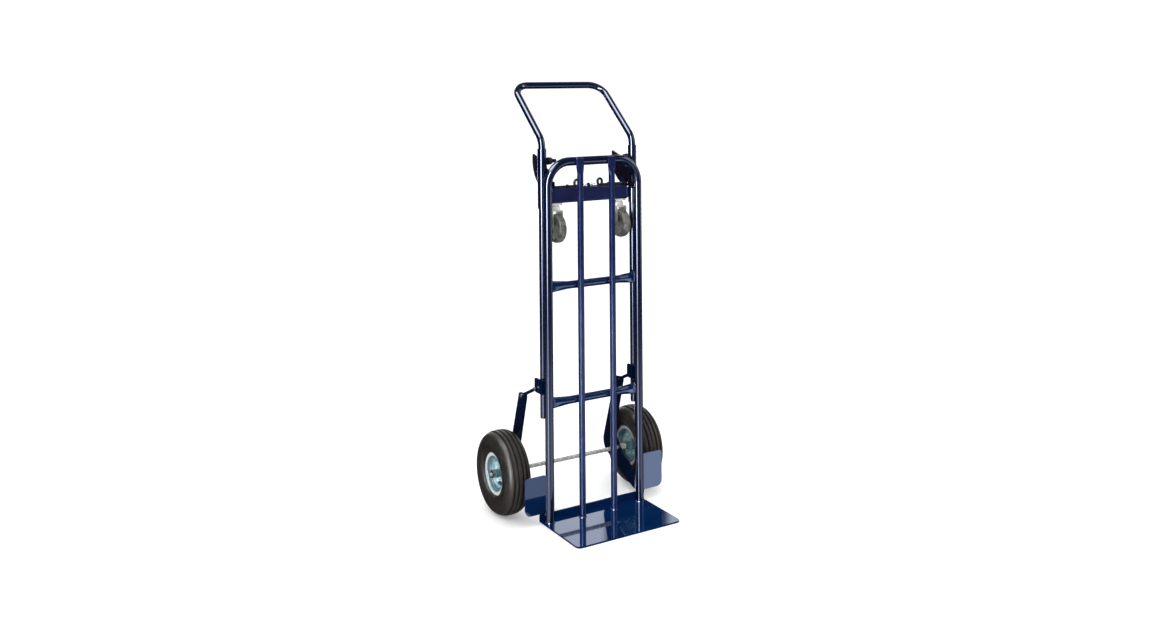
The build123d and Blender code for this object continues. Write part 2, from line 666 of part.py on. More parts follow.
def caster_core():
    """Right-hand caster wheel centre: rim, web and hub."""
    half = CASTER_WHEEL_HALF
    bore = CASTER_AXLE_R + RUN_CLEARANCE
    profile = [
        (-half - 1.5, bore),
        (half + 1.5, bore),
        (half + 1.5, 9.0),
        (4.0, 11.0),
        (4.0, 26.0),
        (half - 1.0, 29.0),
        (half - 1.0, CASTER_CORE_R),
        (-half + 1.0, CASTER_CORE_R),
        (-half + 1.0, 29.0),
        (-4.0, 26.0),
        (-4.0, 11.0),
        (-half - 1.5, 9.0),
    ]
    return ring_x(profile, CASTER_X, CASTER_WHEEL_Y, CASTER_AXLE_Z)


# ---------------------------------------------------------------- main wheels
RIM_FLANGE_R = 65.0
BEAD_R = 54.5
BEAD_HALF = 28.0
DISC_BOLT_R = 31.0
HUB_R = 18.0
HUB_NECK_R = 12.5
BEARING_R = 9.5
BEARING_LENGTH = 9.0
RIM_BOLTS = 5
RIM_BOLT_R = 3.0


def section_curve(half_width, half_height, centre_r, low_r):
    """Points of an oval tyre section, from one bead round over the crown to the other."""
    power = 2 / 2.6
    steps = 40
    points = []
    for i in range(steps + 1):
        angle = math.radians(-58 + (180 + 2 * 58) * i / steps)
        c, s = math.cos(angle), math.sin(angle)
        x = half_width * math.copysign(abs(c) ** power, c)
        r = centre_r + half_height * math.copysign(abs(s) ** power, s)
        points.append((x, max(r, low_r)))
    return points


def tyre_section(half_width, half_height, low_r):
    centre_r = WHEEL_R - TYRE_DEPTH
    points = section_curve(half_width, half_height, centre_r, low_r)
    return [(0, x, r) for x, r in points]


def tyre():
    """Right-hand pneumatic tyre with four shallow grooves round its tread."""
    half = TYRE_HALF_WIDTH
    outer = Spline(*[(s, 0, r) for _, s, r in tyre_section(half, TYRE_DEPTH, 0)])
    face_outer = make_face([outer, Line(outer @ 1, outer @ 0)])
    inner_half = half - TYRE_WALL
    inner = Spline(*[(s, 0, r) for _, s, r in tyre_section(inner_half, TYRE_DEPTH - TYRE_WALL, 0)])
    face_inner = make_face([inner, Line(inner @ 1, inner @ 0)])
    body = revolve(face_outer, Axis.X) - revolve(face_inner, Axis.X)
    body = body - rod_x(BEAD_R, (-60, 60), 0, 0)
    pocket = ring_x(
        [(-BEAD_HALF + 8, BEAD_R - 2), (BEAD_HALF - 8, BEAD_R - 2), (BEAD_HALF - 8, 75), (-BEAD_HALF + 8, 75)],
        0, 0, 0,
    )
    body = body - pocket
    for sign in (-1, 1):
        lip = ring_x(
            [
                (sign * (BEAD_HALF - 0.2), BEAD_R - 2),
                (sign * 60, BEAD_R - 2),
                (sign * 60, RIM_FLANGE_R + 1.2),
                (sign * (BEAD_HALF - 0.2), RIM_FLANGE_R + 1.2),
            ],
            0, 0, 0,
        )
        body = body - lip
    for s in (-21.0, -7.5, 7.5, 21.0):
        depth = 3.2
        crown = WHEEL_R if abs(s) < 10 else WHEEL_R - 3.0
        groove = ring_x(
            [(s - 2.4, WHEEL_R + 2), (s + 2.4, WHEEL_R + 2), (s + 1.2, crown - depth), (s - 1.2, crown - depth)],
            0, 0, 0,
        )
        body = body - groove
    return Pos(WHEEL_X, WHEEL_Y, WHEEL_R) * max(body.solids(), key=lambda solid: solid.volume)


VALVE_R = 4.2
VALVE_TURN = 127.0          # round the wheel, from the top
VALVE_LEAN = 150.0


def valve_rod(length, start=0.0):
    """Round bar along the valve's line, from the tyre's cavity out through the wheel's dish."""
    rod = Pos(0, 0, start + length / 2) * Cylinder(VALVE_R, length)
    return Rot(VALVE_TURN, 0, 0) * Pos(6, 0, 68) * Rot(0, VALVE_LEAN, 0) * rod


def inner_tube():
    """Right-hand inner tube with its valve stem, which comes out through the outer rim half."""
    half = TYRE_HALF_WIDTH - TYRE_WALL - 1.0
    height = TYRE_DEPTH - TYRE_WALL - 1.0
    ring_r = WHEEL_R - TYRE_DEPTH
    outer = Pos(0, 0, ring_r) * Rot(90, 0, 0) * Ellipse(half * 0.86, height * 0.88)
    inner = Pos(0, 0, ring_r) * Rot(90, 0, 0) * Ellipse(half * 0.86 - 2.5, height * 0.88 - 2.5)
    ring = revolve(outer, Axis.X) - revolve(inner, Axis.X)
    hollow = revolve(inner, Axis.X)
    stem = max((valve_rod(40.0) - hollow).solids(), key=lambda solid: solid.volume)
    return Pos(WHEEL_X, WHEEL_Y, WHEEL_R) * (ring + stem)


def rim_half(outboard):
    """Half of a bolted rim, pressed from sheet: disc, well, bead seat and flange."""
    profile = [
        (1.0, HUB_R),
        (1.0, 46.0),
        (14.0, 46.0),
        (17.0, BEAD_R),
        (BEAD_HALF, BEAD_R),
        (BEAD_HALF, RIM_FLANGE_R),
        (BEAD_HALF + 2.5, RIM_FLANGE_R),
        (BEAD_HALF + 2.5, BEAD_R - 2.5),
        (19.0, BEAD_R - 2.5),
        (16.0, 43.5),
        (3.5, 43.5),
        (3.5, HUB_R),
    ]
    rim = ring_x(profile, 0, 0, 0, side=1 if outboard else -1)
    for i in range(RIM_BOLTS):
        angle = 2 * math.pi * i / RIM_BOLTS
        y, z = DISC_BOLT_R * math.cos(angle), DISC_BOLT_R * math.sin(angle)
        rim = rim - rod_x(RIM_BOLT_R + 0.2, (-10, 10), y, z)
    if outboard:
        rim = rim - valve_rod(60.0, -10.0)
    return Pos(WHEEL_X, WHEEL_Y, WHEEL_R) * max(rim.solids(), key=lambda solid: solid.volume)


def rim_bolts():
    """Five bolts that clamp the rim halves to the hub's flange."""
    bolts = []
    for i in range(RIM_BOLTS):
        angle = 2 * math.pi * i / RIM_BOLTS
        y = WHEEL_Y + DISC_BOLT_R * math.cos(angle)
        z = WHEEL_R + DISC_BOLT_R * math.sin(angle)
        shank = rod_x(RIM_BOLT_R, (WHEEL_X - 10, WHEEL_X + 3.5), y, z)
        head = hex_x(10, (WHEEL_X + 3.5, WHEEL_X + 8), y, z)
        nut = hex_x(10, (WHEEL_X - 8.5, WHEEL_X - 3.5), y, z)
        bolts.append(shank + head + nut)
    return Compound(children=bolts)


def wheel_hub():
    """Right-hand hub: a tube with a flange between the rim halves and seats for two bearings."""
    profile = [
        (-HUB_HALF, BEARING_R),
        (-HUB_HALF, HUB_NECK_R),
        (-9.0, HUB_NECK_R),
        (-6.0, HUB_R),
        (-1.0, HUB_R),
        (-1.0, 40.0),
        (1.0, 40.0),
        (1.0, HUB_R),
        (6.0, HUB_R),
        (9.0, HUB_NECK_R),
        (HUB_HALF, HUB_NECK_R),
        (HUB_HALF, BEARING_R),
        (HUB_HALF - BEARING_LENGTH, BEARING_R),
        (HUB_HALF - BEARING_LENGTH, 8.0),
        (-HUB_HALF + BEARING_LENGTH, 8.0),
        (-HUB_HALF + BEARING_LENGTH, BEARING_R),
    ]
    hub = ring_x(profile, WHEEL_X, WHEEL_Y, WHEEL_R)
    for i in range(RIM_BOLTS):
        angle = 2 * math.pi * i / RIM_BOLTS
        y = WHEEL_Y + DISC_BOLT_R * math.cos(angle)
        z = WHEEL_R + DISC_BOLT_R * math.sin(angle)
        hub = hub - rod_x(RIM_BOLT_R + 0.2, (WHEEL_X - 10, WHEEL_X + 10), y, z)
    return hub


def wheel_bearings():
    """Two plain flanged bearings pressed into the ends of the right-hand hub."""
    bearings = []
    for sign in (-1, 1):
        ends = sorted((WHEEL_X + sign * HUB_HALF, WHEEL_X + sign * (HUB_HALF - BEARING_LENGTH)))
        bush = rod_x(BEARING_R, ends, WHEEL_Y, WHEEL_R)
        bearings += solids_of(bush - rod_x(AXLE_R + RUN_CLEARANCE, (ends[0] - 1, ends[1] + 1), WHEEL_Y, WHEEL_R))
    return Compound(children=bearings)


# ---------------------------------------------------------------- write the parts
def both_sides(name, make):
    """The left and right nodes of a piece that is made for the right-hand side."""
    shape = make()
    return {f"{name}_{side}": for_side(side, shape) for side in SIDES}


def all_parts():
    parts = {
        "main_frame_loop": main_frame_loop(),
        "toe_plate": toe_plate(),
        "cross_members": cross_members(),
        "strap_bolts": strap_bolts(),
        "axle": axle(),
        "axle_spacers": axle_spacers(),
        "axle_washers": axle_washers(),
        "cotter_pins": cotter_pins(),
        "caster_channel": caster_channel(),
        "sleeve_brackets": sleeve_brackets(),
        "pivot_studs": pivot_studs(),
        "pivot_nuts": pivot_nuts(),
        "latch_guides": latch_guides(),
        "caster_plates": caster_plates(),
        "caster_bolts": caster_bolts(),
        "handle_tube": handle_tube(),
        "handle_end_plugs": handle_end_plugs(),
    }
    sided = {
        "upright": upright,
        "wheel_bracket": wheel_bracket,
        "wheel_guard": wheel_guard,
        "tube_saddle": tube_saddle,
        "brace_strap": brace_strap,
        "pivot_plate": pivot_plate,
        "handle_sleeve": sleeve,
        "latch_spring": latch_spring,
        "latch_rod": latch_rod,
        "finger_loop": finger_loop,
        "caster_fork": caster_fork,
        "caster_axle": caster_axle,
        "caster_tread": caster_tread,
        "caster_core": caster_core,
        "tyre": tyre,
        "inner_tube": inner_tube,
        "rim_outer": lambda: rim_half(True),
        "rim_inner": lambda: rim_half(False),
        "rim_bolts": rim_bolts,
        "wheel_hub": wheel_hub,
        "wheel_bearings": wheel_bearings,
    }
    for name, make in sided.items():
        parts.update(both_sides(name, make))
    return parts


os.makedirs("parts", exist_ok=True)
for node, shape in all_parts().items():
    export_step(Pos(0, ORIGIN_Y, 0) * shape, f"parts/{node}.step")
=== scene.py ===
import json
import math

import bmesh
import bpy
from mathutils import Matrix, Vector

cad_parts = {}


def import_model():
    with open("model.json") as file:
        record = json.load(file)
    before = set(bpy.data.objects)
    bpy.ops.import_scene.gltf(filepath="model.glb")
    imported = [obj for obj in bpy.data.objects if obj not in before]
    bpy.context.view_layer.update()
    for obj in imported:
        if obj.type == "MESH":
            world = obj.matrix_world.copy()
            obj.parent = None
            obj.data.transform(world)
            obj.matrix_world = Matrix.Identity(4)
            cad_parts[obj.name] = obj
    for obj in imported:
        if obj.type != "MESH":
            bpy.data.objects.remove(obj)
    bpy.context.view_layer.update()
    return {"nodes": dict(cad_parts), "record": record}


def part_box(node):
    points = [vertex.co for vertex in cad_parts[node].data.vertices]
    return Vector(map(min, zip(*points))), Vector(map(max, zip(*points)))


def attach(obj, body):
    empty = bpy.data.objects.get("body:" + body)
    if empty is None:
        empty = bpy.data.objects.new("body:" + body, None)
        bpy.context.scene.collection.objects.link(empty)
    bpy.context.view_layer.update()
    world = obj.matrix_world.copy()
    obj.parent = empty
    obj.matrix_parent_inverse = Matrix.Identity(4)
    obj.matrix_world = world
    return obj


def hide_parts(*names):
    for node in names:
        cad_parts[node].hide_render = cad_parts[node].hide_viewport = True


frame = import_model()
NODES = frame["nodes"]
SUBPARTS = frame["record"]["subparts"]
SIDES = {"left": -1, "right": 1}


# ---------------------------------------------------------------- places in metres, from the CAD model
def centre(node):
    """The middle of a piece's box."""
    low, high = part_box(node)
    return (low + high) / 2


def wheel_centre(side):
    """The middle of a main wheel, on the axle's line."""
    return centre(f"wheel_hub_{side}")


LOOP_LOW, LOOP_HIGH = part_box("main_frame_loop")
TUBE_R = (LOOP_HIGH.y - LOOP_LOW.y) / 2
TUBE_X = LOOP_HIGH.x - TUBE_R
TUBE_Y = (LOOP_LOW.y + LOOP_HIGH.y) / 2
TOE_TOP = LOOP_LOW.z
UPRIGHT_LOW, UPRIGHT_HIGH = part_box("upright_right")
UPRIGHT_X = (UPRIGHT_LOW.x + UPRIGHT_HIGH.x) / 2
UPRIGHT_Y = (UPRIGHT_LOW.y + UPRIGHT_HIGH.y) / 2
UPRIGHT_R = (UPRIGHT_HIGH.y - UPRIGHT_LOW.y) / 2
CROSS_LOW, CROSS_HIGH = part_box("cross_members")
CROSS_Y = (CROSS_LOW.y + CROSS_HIGH.y) / 2
# half the size of a cross tube's flattened end, along Y and Z
CROSS_HALF = (0.006, 0.017)
CROSS_Z = (CROSS_LOW.z + CROSS_HALF[1], CROSS_HIGH.z - CROSS_HALF[1])
SLEEVE_LOW, SLEEVE_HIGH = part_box("handle_sleeve_right")
STUD = centre("pivot_studs")
FORK_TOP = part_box("caster_fork_left")[1].z


# ---------------------------------------------------------------- node helpers
class Tree:
    """A material's node tree, with short ways to add the nodes used here."""

    def __init__(self, name):
        self.material = bpy.data.materials.new(name)
        self.material.use_nodes = True
        self.nodes = self.material.node_tree.nodes
        self.links = self.material.node_tree.links
        self.shader = self.nodes["Principled BSDF"]
        self.coords = self.nodes.new("ShaderNodeTexCoord").outputs["Object"]

    def set(self, **values):
        for key, value in values.items():
            self.shader.inputs[key.replace("_", " ")].default_value = value

    def link(self, source, name):
        self.links.new(source, self.shader.inputs[name])

    def mapped(self, scale=(1, 1, 1), location=(0, 0, 0)):
        node = self.nodes.new("ShaderNodeMapping")
        node.inputs["Scale"].default_value = scale
        node.inputs["Location"].default_value = location
        self.links.new(self.coords, node.inputs["Vector"])
        return node.outputs["Vector"]

    def noise(self, scale, detail=3.0, rough=0.55, stretch=(1, 1, 1)):
        node = self.nodes.new("ShaderNodeTexNoise")
        node.inputs["Scale"].default_value = scale
        node.inputs["Detail"].default_value = detail
        node.inputs["Roughness"].default_value = rough
        self.links.new(self.mapped(stretch), node.inputs["Vector"])
        return node.outputs["Fac"]

    def spots(self, scale):
        node = self.nodes.new("ShaderNodeTexVoronoi")
        node.inputs["Scale"].default_value = scale
        self.links.new(self.mapped(), node.inputs["Vector"])
        return node.outputs["Distance"]

    def split(self, vector):
        node = self.nodes.new("ShaderNodeSeparateXYZ")
        self.links.new(vector, node.inputs["Vector"])
        return tuple(node.outputs)

    def around(self, place):
        """Distances from a wheel's middle: along the axle, back, up, and square to the axle."""
        x, y, z = self.split(self.mapped(location=tuple(-place)))
        radius = self.math("SQRT", self.math("ADD", self.math("MULTIPLY", y, y), self.math("MULTIPLY", z, z)))
        return x, y, z, radius

    def ramp(self, source, *stops):
        node = self.nodes.new("ShaderNodeValToRGB")
        elements = node.color_ramp.elements
        while len(elements) < len(stops):
            elements.new(0.5)
        for element, (place, colour) in zip(elements, stops):
            element.position = place
            element.color = (*colour, 1.0)
        self.links.new(source, node.inputs["Fac"])
        return node.outputs["Color"]

    def to_range(self, source, low, high, start=0.3, end=0.7):
        node = self.nodes.new("ShaderNodeMapRange")
        node.inputs["From Min"].default_value = start
        node.inputs["From Max"].default_value = end
        node.inputs["To Min"].default_value = low
        node.inputs["To Max"].default_value = high
        self.links.new(source, node.inputs["Value"])
        return node.outputs["Result"]

    def math(self, kind, a, b=None):
        node = self.nodes.new("ShaderNodeMath")
        node.operation = kind
        for socket, value in zip(node.inputs, (a, b)):
            if value is None:
                continue
            if isinstance(value, (int, float)):
                socket.default_value = value
            else:
                self.links.new(value, socket)
        return node.outputs["Value"]

    def mix(self, factor, a, b):
        node = self.nodes.new("ShaderNodeMix")
        node.data_type = "RGBA"
        sockets = [s for s in node.inputs if s.type == "RGBA"]
        for socket, value in zip(sockets, (a, b)):
            if isinstance(value, tuple):
                socket.default_value = (*value, 1.0)
            else:
                self.links.new(value, socket)
        self.links.new(factor, node.inputs[0])
        return next(s for s in node.outputs if s.type == "RGBA")

    def bump(self, source, distance, strength=1.0, under=None):
        node = self.nodes.new("ShaderNodeBump")
        node.inputs["Distance"].default_value = distance
        node.inputs["Strength"].default_value = strength
        self.links.new(source, node.inputs["Height"])
        if under is not None:
            self.links.new(under, node.inputs["Normal"])
        return node.outputs["Normal"]


# ---------------------------------------------------------------- materials
def shaded(colour):
    """A darker version of a colour, for its specks."""
    return tuple(0.55 * c for c in colour)


def paint(name, dark=(0.0010, 0.008, 0.036), light=(0.0020, 0.014, 0.058), rough=(0.03, 0.07), ior=1.9,
          tint=(0.50, 0.64, 1.0), coat=0.20, scuffs=False, duller_above=None):
    """Glossy dark blue powder coat with a faint orange peel.

    duller_above gives the two heights between which it dulls.
    """
    t = Tree(name)
    t.set(Metallic=0.0, IOR=ior, Specular_Tint=(*tint, 1), Coat_Weight=coat, Coat_Roughness=0.03)
    tone = t.ramp(t.noise(9.0, 2.0), (0.3, dark), (0.7, light))
    fleck = t.to_range(t.spots(1400.0), 1.0, 0.0, 0.02, 0.10)
    t.link(t.mix(t.math("MULTIPLY", fleck, 0.08), tone, (0.05, 0.07, 0.20)), "Base Color")
    gloss = t.to_range(t.noise(55.0, 3.0), *rough)
    if scuffs:
        scratch = t.noise(60.0, 4.0, 0.7, (1.0, 14.0, 1.0))
        gloss = t.math("ADD", gloss, t.to_range(scratch, 0.0, 0.12, 0.62, 0.78))
        # the plate's cut edges are duller than its face
        facing_up = t.split(t.nodes.new("ShaderNodeNewGeometry").outputs["Normal"])[2]
        t.link(t.to_range(facing_up, 0.0, 0.5, 0.5, 0.9), "Specular IOR Level")
        t.link(t.to_range(facing_up, 0.0, 0.2, 0.5, 0.9), "Coat Weight")
    if duller_above:
        height = t.split(t.coords)[2]
        t.link(t.to_range(height, 0.50, 0.12, *duller_above), "Specular IOR Level")
    t.link(gloss, "Roughness")
    peel = t.bump(t.noise(300.0, 2.0, 0.4), 0.00010, 0.10)
    t.link(peel, "Normal")
    broad = t.bump(t.noise(38.0, 1.0, 0.4), 0.0005, 0.02, under=peel)
    t.link(broad, "Coat Normal")
    return t.material


def plated(name, dark, light, rough=(0.14, 0.30), grain=(1, 1, 1), metal=1.0, darker_below=None):
    """Zinc-plated steel: bright metal with soft cloudy patches and a fine grain.

    The last argument gives the heights where the darkening towards the bottom, in patches, is full and where
    it ends.
    """
    t = Tree(name)
    t.set(Metallic=metal, Anisotropic=0.25)
    cloud = t.noise(28.0, 5.0, 0.6)
    tone = t.ramp(cloud, (0.30, dark), (0.68, light))
    if darker_below:
        # darker towards the bottom, in patches
        low_darkening = t.to_range(t.split(t.coords)[2], 0.85, 0.0, *darker_below)
        low_darkening = t.math("MULTIPLY", low_darkening, t.to_range(cloud, 0.75, 1.0, 0.40, 0.60))
        tone = t.mix(low_darkening, tone, (0.070, 0.072, 0.058))
    speck = t.to_range(t.noise(420.0, 2.0, 0.5), 0.0, 0.35, 0.55, 0.75)
    t.link(t.mix(speck, tone, shaded(dark)), "Base Color")
    t.link(t.to_range(t.noise(90.0, 4.0, 0.6), *rough), "Roughness")
    t.link(t.bump(t.noise(160.0, 3.0, 0.6, grain), 0.00008, 0.5), "Normal")
    return t.material


# how far each groove of the tread lies from the tyre's middle
TYRE_GROOVES = (0.0075, 0.0215)


def tyre_rubber(side):
    """Black tyre rubber, a little glossy, with fine moulded lines round the sidewall and dust on it; a
    painted highlight on the rib tops and painted shade in the grooves.
    """
    t = Tree(f"tyre_rubber_{side}")
    t.set(Specular_IOR_Level=0.28)
    x, y, z, radius = t.around(wheel_centre(side))
    tone = t.ramp(t.noise(30.0, 4.0, 0.6), (0.3, (0.0080, 0.0070, 0.0058)), (0.7, (0.019, 0.0165, 0.0140)))
    dust = t.to_range(t.noise(240.0, 4.0, 0.7), 0.0, 0.40, 0.50, 0.74)
    tone = t.mix(dust, tone, (0.046, 0.041, 0.035))
    # painted highlight: paler rib tops; painted shade: black grooves between them
    across = t.math("ABSOLUTE", x)
    crown = t.to_range(radius, 0.0, 1.0, 0.1165, 0.1225)
    groove_shade = None
    for groove in TYRE_GROOVES:
        off = t.math("ABSOLUTE", t.math("SUBTRACT", across, groove))
        near = t.to_range(off, 1.0, 0.0, 0.0020, 0.0036)
        groove_shade = near if groove_shade is None else t.math("MAXIMUM", groove_shade, near)
    tone = t.mix(t.math("MULTIPLY", crown, 0.55), tone, (0.052, 0.046, 0.040))
    t.link(t.mix(t.math("MULTIPLY", groove_shade, crown), tone, (0.0015, 0.0013, 0.0011)), "Base Color")
    t.link(t.to_range(t.noise(70.0, 3.0), 0.36, 0.52), "Roughness")
    # ribs round the shoulder
    rib = t.math("SINE", t.math("MULTIPLY", t.math("ARCTAN2", y, z), 96.0))
    rib = t.math("MULTIPLY", rib, t.to_range(radius, 0.0, 1.0, 0.100, 0.104))
    rib = t.math("MULTIPLY", rib, t.to_range(radius, 1.0, 0.0, 0.112, 0.116))
    # fine rings on the sidewall
    ring = t.math("SINE", t.math("MULTIPLY", radius, 2 * math.pi / 0.0032))
    ring = t.math("MULTIPLY", ring, t.to_range(radius, 1.0, 0.0, 0.088, 0.096))
    moulded = t.bump(t.math("ADD", rib, t.math("MULTIPLY", ring, 0.35)), 0.0004, 0.6)
    t.link(t.bump(t.noise(500.0, 3.0, 0.6), 0.00012, 0.5, under=moulded), "Normal")
    return t.material


def soft_rubber(name, dark, light):
    """Caster or inner-tube rubber: matt, slightly mottled."""
    t = Tree(name)
    t.set(Specular_IOR_Level=0.35)
    tone = t.ramp(t.noise(60.0, 5.0, 0.65), (0.3, dark), (0.7, light))
    speck = t.to_range(t.noise(420.0, 3.0, 0.6), 0.0, 0.5, 0.52, 0.74)
    t.link(t.mix(speck, tone, shaded(dark)), "Base Color")
    t.link(t.to_range(t.noise(110.0, 3.0), 0.42, 0.62), "Roughness")
    t.link(t.bump(t.noise(600.0, 3.0, 0.6), 0.0001, 0.5), "Normal")
    return t.material


def plastic(name, dark, light, rough=(0.30, 0.45)):
    """Moulded plastic with a fine spark-eroded grain."""
    t = Tree(name)
    t.set(Specular_IOR_Level=0.25)
    t.link(t.ramp(t.noise(45.0, 3.0), (0.3, dark), (0.7, light)), "Base Color")
    t.link(t.to_range(t.noise(120.0, 3.0), *rough), "Roughness")
    t.link(t.bump(t.spots(1500.0), 0.00006, 0.5), "Normal")
    return t.material


def rim_plating(name):
    """Bluish zinc on the pressed rims: a painted highlight that whitens the rolled edge, painted shade in the
    drop centre, and a cloudy dish.
    """
    t = Tree(name)
    t.set(Metallic=0.3, Anisotropic=0.25)
    radius = t.around(wheel_centre("left"))[3]
    cloud = t.ramp(t.noise(34.0, 5.0, 0.65), (0.32, (0.10, 0.26, 0.30)), (0.48, (0.42, 0.66, 0.70)),
                   (0.62, (0.92, 0.96, 0.96)))
    # painted shade: the drop centre and its walls darker
    tone = t.mix(t.to_range(radius, 0.0, 0.80, 0.040, 0.047), cloud, (0.050, 0.115, 0.150))
    # painted highlight: the rolled edge whiter
    tone = t.mix(t.to_range(radius, 0.0, 1.0, 0.0535, 0.0560), tone, (0.92, 0.95, 0.95))
    speck = t.to_range(t.noise(420.0, 2.0, 0.5), 0.0, 0.30, 0.55, 0.75)
    t.link(t.mix(speck, tone, (0.16, 0.28, 0.32)), "Base Color")
    t.link(t.to_range(t.noise(90.0, 4.0, 0.6), 0.12, 0.28), "Roughness")
    t.link(t.bump(t.noise(160.0, 3.0, 0.6), 0.00008, 0.5), "Normal")
    return t.material


MATERIALS = {
    "frame_paint": paint("frame_paint"),
    "bright_steel": plated("bright_steel", (0.52, 0.51, 0.47), (0.80, 0.79, 0.75), (0.18, 0.34),
                           grain=(1.0, 9.0, 9.0), metal=0.45),
    "zinc_hardware": plated("zinc_hardware", (0.42, 0.46, 0.48), (0.70, 0.73, 0.74), (0.20, 0.38)),
    "caster_zinc": plated("caster_zinc", (0.66, 0.68, 0.64), (0.98, 0.98, 0.95), (0.14, 0.28), metal=0.30,
                          darker_below=(FORK_TOP - 0.045, FORK_TOP - 0.030)),
    "spring_steel": plated("spring_steel", (0.50, 0.50, 0.50), (0.78, 0.78, 0.78), (0.16, 0.30)),
    "black_plastic": plastic("black_plastic", (0.0012, 0.0012, 0.0014), (0.0030, 0.0030, 0.0034),
                             (0.45, 0.6)),
    "caster_rubber": soft_rubber("caster_rubber", (0.020, 0.020, 0.017), (0.185, 0.180, 0.158)),
    "caster_core": plastic("caster_core", (0.09, 0.09, 0.08), (0.26, 0.26, 0.23)),
    "tube_rubber": soft_rubber("tube_rubber", (0.015, 0.015, 0.015), (0.03, 0.03, 0.03)),
    "rim_zinc": rim_plating("rim_zinc"),
    "black_steel": plated("black_steel", (0.010, 0.010, 0.012), (0.026, 0.026, 0.030), (0.25, 0.40),
                          metal=0.4),
    "bearing_steel": plated("bearing_steel", (0.30, 0.28, 0.25), (0.50, 0.48, 0.44), (0.28, 0.45)),
}
# painted light: a lighter copy of the blue paint on the toe plate
TOE_LIT_PAINT = paint("toe_lit_paint", (0.0010, 0.013, 0.058), (0.0020, 0.021, 0.090), (0.02, 0.04), scuffs=True)
# painted shade: a darker copy on the frame loop, the handle tube and the sleeves
TUBE_SHADED_PAINT = paint("tube_shaded_paint", (0.0010, 0.0032, 0.017), (0.0020, 0.0060, 0.028), (0.03, 0.06), ior=1.6,
                   tint=(0.66, 0.74, 1.0))
# painted light: a purpler copy on the uprights
UPRIGHT_SHEEN_PAINT = paint("upright_sheen_paint", (0.0045, 0.0075, 0.040), (0.0080, 0.012, 0.060), (0.34, 0.42),
                      ior=1.6, coat=0.0, duller_above=(0.55, 0.80))
# painted shade: a darker copy on the wheel brackets, brace straps and tube saddles
SHADED_PARTS_PAINT = paint("shaded_parts_paint", (0.0006, 0.003, 0.015), (0.0013, 0.006, 0.028), (0.06, 0.12),
                    ior=1.22, coat=0.0)
# painted shade: a darker, less blue copy on the pivot plates
PLATE_SHADED_PAINT = paint("plate_shaded_paint", (0.005, 0.004, 0.011), (0.010, 0.008, 0.020), (0.06, 0.12),
                    ior=1.22, coat=0.0)
# painted light: a lighter, purpler copy on the caster channel
CHANNEL_LIT_PAINT = paint("channel_lit_paint", (0.0080, 0.0100, 0.042), (0.0140, 0.0190, 0.070), ior=1.7)
WELD_PAINT = paint("weld_paint", (0.0008, 0.007, 0.030), (0.0018, 0.012, 0.050))
HUB_ZINC = plated("hub_zinc", (0.06, 0.11, 0.13), (0.26, 0.38, 0.42), (0.20, 0.36), metal=0.5)
TYRE_RUBBER = {side: tyre_rubber(side) for side in SIDES}
# the look of the pieces that differ from others in the same slot, by the start of their names; the blue
# pieces carry one real paint, and their copies here are lighter and darker as painted light and shade
OWN_LOOKS = {
    "tyre_left": TYRE_RUBBER["left"],
    "tyre_right": TYRE_RUBBER["right"],
    "toe_plate": TOE_LIT_PAINT,
    "upright_": UPRIGHT_SHEEN_PAINT,
    "main_frame_loop": TUBE_SHADED_PAINT,
    "handle_tube": TUBE_SHADED_PAINT,
    "handle_sleeve_": TUBE_SHADED_PAINT,
    "pivot_plate_": PLATE_SHADED_PAINT,
    "wheel_bracket_": SHADED_PARTS_PAINT,
    "brace_strap_": SHADED_PARTS_PAINT,
    "tube_saddle_": SHADED_PARTS_PAINT,
    "caster_channel": CHANNEL_LIT_PAINT,
    "wheel_hub_": HUB_ZINC,
    "pivot_nuts": MATERIALS["black_steel"],
}


def give(obj, material):
    """Puts one material in every slot of an object."""
    if not obj.material_slots:
        obj.data.materials.append(material)
    for s in obj.material_slots:
        s.material = material


def carried_material(node, slot_name):
    """The material of a piece that comes from the CAD model."""
    for start, material in OWN_LOOKS.items():
        if node.startswith(start):
            return material
    return MATERIALS[slot_name]


for part in SUBPARTS:
    give(NODES[part["node"]], carried_material(part["node"], part["material_slot"]))


# ---------------------------------------------------------------- softened edges on the sheet metal
def soften(node, width, angle=35.0):
    """Welds the mesh's split vertices and rounds its sharp edges, as a bend or a coat of paint does."""
    obj = NODES[node]
    weld = obj.modifiers.new("weld", "WELD")
    weld.merge_threshold = 0.00001
    bevel = obj.modifiers.new("bevel", "BEVEL")
    bevel.width = width
    bevel.segments = 2
    bevel.limit_method = "ANGLE"
    bevel.angle_limit = math.radians(angle)
    bevel.use_clamp_overlap = True
    bevel.harden_normals = False


EDGE_WIDTHS = {
    "toe_plate": 0.0010, "wheel_bracket": 0.0008, "wheel_guard": 0.0007, "tube_saddle": 0.0007,
    "brace_strap": 0.0007, "pivot_plate": 0.0008, "caster_channel": 0.0006, "sleeve_brackets": 0.0006,
    "caster_plates": 0.0005, "latch_guides": 0.0005,
}
for sheet, width in EDGE_WIDTHS.items():
    for node in (sheet, f"{sheet}_left", f"{sheet}_right"):
        if node in NODES:
            soften(node, width)


